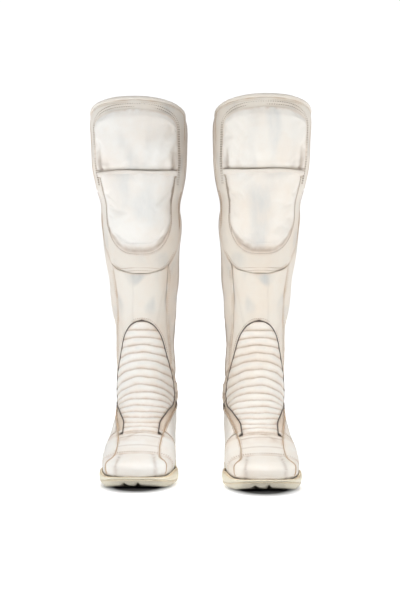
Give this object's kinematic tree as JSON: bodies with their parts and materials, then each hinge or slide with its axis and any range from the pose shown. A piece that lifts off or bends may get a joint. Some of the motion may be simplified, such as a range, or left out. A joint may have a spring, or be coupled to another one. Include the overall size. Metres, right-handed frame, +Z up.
{
  "type": "pair of riding boots",
  "caption": "Pair of knee-high padded leather riding boots with knee cups, ribbed flexing insteps, rear zips and rubber soles.",
  "frame": {"origin": "on the floor, under the centre of the pair's box", "axes": "+Z up, toes towards -Y, the wearer's left boot on +X"},
  "size_m": [0.3346, 0.3615, 0.574],
  "materials": {
    "leather": "aged off-white",
    "white_leather": "aged white",
    "tan_leather": "worn, tan at the edges",
    "stretch": "ribbed stretch cloth",
    "rubber": "cream, matt",
    "midsole": "matt foam",
    "lining": "padded cloth",
    "board": "fibre board",
    "steel": "plain",
    "tape": "woven tape",
    "zip_metal": "dull"
  },
  "bodies": {
    "right_foot": {"right_outsole": "rubber", "right_heel": "rubber", "right_midsole": "midsole", "right_rand": "rubber", "right_insole_board": "board", "right_shank": "steel", "right_footbed": "lining", "right_toe_cap": "white_leather", "right_toe_puff": "board", "right_vamp": "leather", "right_quarter_lateral": "leather", "right_quarter_medial": "leather", "right_heel_counter": "tan_leather", "right_counter_stiffener": "board", "right_instep_gussets": "stretch", "right_instep_ribs": "white_leather", "right_ankle_panels": "leather", "right_foot_lining": "lining"},
    "right_shaft": {"right_shin_panel": "leather", "right_yoke": "leather", "right_calf_lateral": "leather", "right_calf_medial": "leather", "right_knee_pad": "white_leather", "right_shin_pad": "white_leather", "right_collar_binding": "tan_leather", "right_shaft_lining": "lining", "right_zip_tape": "tape", "right_zip_chain": "zip_metal"},
    "right_slider": {"right_zip_slider": "zip_metal"},
    "right_puller": {"right_zip_puller": "zip_metal"},
    "left_foot": {"left_outsole": "rubber", "left_heel": "rubber", "left_midsole": "midsole", "left_rand": "rubber", "left_insole_board": "board", "left_shank": "steel", "left_footbed": "lining", "left_toe_cap": "white_leather", "left_toe_puff": "board", "left_vamp": "leather", "left_quarter_lateral": "leather", "left_quarter_medial": "leather", "left_heel_counter": "tan_leather", "left_counter_stiffener": "board", "left_instep_gussets": "stretch", "left_instep_ribs": "white_leather", "left_ankle_panels": "leather", "left_foot_lining": "lining"},
    "left_shaft": {"left_shin_panel": "leather", "left_yoke": "leather", "left_calf_lateral": "leather", "left_calf_medial": "leather", "left_knee_pad": "white_leather", "left_shin_pad": "white_leather", "left_collar_binding": "tan_leather", "left_shaft_lining": "lining", "left_zip_tape": "tape", "left_zip_chain": "zip_metal"},
    "left_slider": {"left_zip_slider": "zip_metal"},
    "left_puller": {"left_zip_puller": "zip_metal"}
  },
  "joints": [
    {"name": "right_ankle_flex", "type": "hinge", "parent": "right_foot", "child": "right_shaft", "pos_m": [-0.081, 0.0985, 0.11], "axis": [0.9986, -0.0523, 0], "range_deg": [-6, 14], "stiffness_Nm_per_rad": 10, "deforming": ["right_instep_ribs", "right_ankle_panels"]},
    {"name": "right_zip_slide", "type": "slide", "parent": "right_shaft", "child": "right_slider", "axis": [0.0259, -0.0713, -0.9971], "range_m": [0, 0.315]},
    {"name": "right_puller_swing", "type": "hinge", "parent": "right_slider", "child": "right_puller", "pos_m": [-0.08832, 0.17864, 0.49776], "axis": [0.9982, -0.0523, 0.0297], "range_deg": [-3, 160]},
    {"name": "left_ankle_flex", "type": "hinge", "parent": "left_foot", "child": "left_shaft", "pos_m": [0.081, 0.0535, 0.11], "axis": [0.9986, 0.0523, 0], "range_deg": [-6, 14], "stiffness_Nm_per_rad": 10, "deforming": ["left_instep_ribs", "left_ankle_panels"]},
    {"name": "left_zip_slide", "type": "slide", "parent": "left_shaft", "child": "left_slider", "axis": [-0.0259, -0.0713, -0.9971], "range_m": [0, 0.315]},
    {"name": "left_puller_swing", "type": "hinge", "parent": "left_slider", "child": "left_puller", "pos_m": [0.08832, 0.13365, 0.49776], "axis": [0.9982, 0.0523, -0.0297], "range_deg": [-3, 160]},
    {"name": "left_boot_lift", "type": "slide", "parent": "right_foot", "child": "left_foot", "axis": [0, 0, 1], "range_m": [0, 0.3]}
  ]
}
